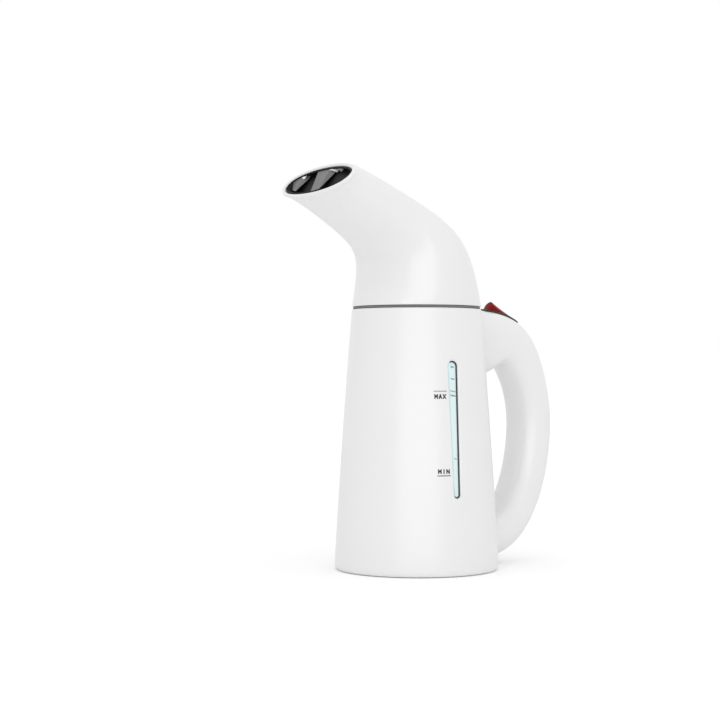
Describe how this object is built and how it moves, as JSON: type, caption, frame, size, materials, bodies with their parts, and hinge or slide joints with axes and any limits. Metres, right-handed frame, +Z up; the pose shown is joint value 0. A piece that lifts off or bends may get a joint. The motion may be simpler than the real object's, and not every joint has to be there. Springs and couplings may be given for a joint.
{
  "type": "travel garment steamer",
  "caption": "Handheld travel garment steamer: tapered water jug, goose-neck steam head with a flat black vent, hollow D-handle with a rocker switch on top.",
  "frame": {"origin": "on the table under the middle of the overall length and width, at the lowest point of the rubber feet", "axes": "+Z up, -X towards the steam outlet, +X towards the handle, -Y towards the water window"},
  "size_m": [0.1699, 0.093, 0.2258],
  "materials": {
    "white_shell": "satin white moulded plastic",
    "clear_window": "clear polished plastic",
    "tank_plastic": "pale aqua translucent plastic",
    "black_plastic": "glossy black plastic",
    "red_plastic": "glossy translucent dark red plastic",
    "grey_rubber": "soft dark grey rubber",
    "cast_aluminium": "as cast",
    "steel": "bright zinc plated",
    "brass": "plain brass"
  },
  "bodies": {
    "jug": {"casing": "white_shell", "handle_shell": "white_shell", "handle_cover": "white_shell", "handle_screw_upper": "steel", "handle_screw_lower": "steel", "neck_collar": "white_shell", "base_plate": "white_shell", "base_screw_1": "steel", "base_screw_2": "steel", "base_screw_3": "steel", "base_screw_4": "steel", "foot_1": "grey_rubber", "foot_2": "grey_rubber", "foot_3": "grey_rubber", "foot_4": "grey_rubber", "cord_gland": "grey_rubber", "water_window": "clear_window", "window_seal": "grey_rubber", "inner_tank": "tank_plastic", "steam_chamber": "tank_plastic", "steam_tube": "tank_plastic", "heater_plate": "cast_aluminium", "heater_seal": "grey_rubber", "heating_element": "steel", "thermostat": "steel", "thermal_fuse": "steel", "switch_housing": "black_plastic", "switch_terminal_1": "brass", "switch_terminal_2": "brass"},
    "turning_seal": {"head_seal": "grey_rubber"},
    "steam_head": {"head_shell": "white_shell", "head_spigot": "white_shell", "steam_baffle": "tank_plastic", "outlet_vent": "black_plastic"},
    "rocker": {"rocker_button": "red_plastic"}
  },
  "joints": [
    {"name": "head_twist", "type": "hinge", "parent": "jug", "child": "turning_seal", "pos_m": [-0.00907, 0, 0.147], "axis": [0, 0, 1], "range_deg": [0, 90]},
    {"name": "head_lift", "type": "slide", "parent": "turning_seal", "child": "steam_head", "axis": [0, 0, 1], "range_m": [0, 0.0151]},
    {"name": "rocker_tilt", "type": "hinge", "parent": "jug", "child": "rocker", "pos_m": [0.04865, 0, 0.1427], "axis": [0, -1, 0], "range_deg": [0, 29.6]}
  ],
  "couplings": [
    {"joint": "head_lift", "follows": "head_twist", "m_per_rad": 0.0095493}
  ]
}
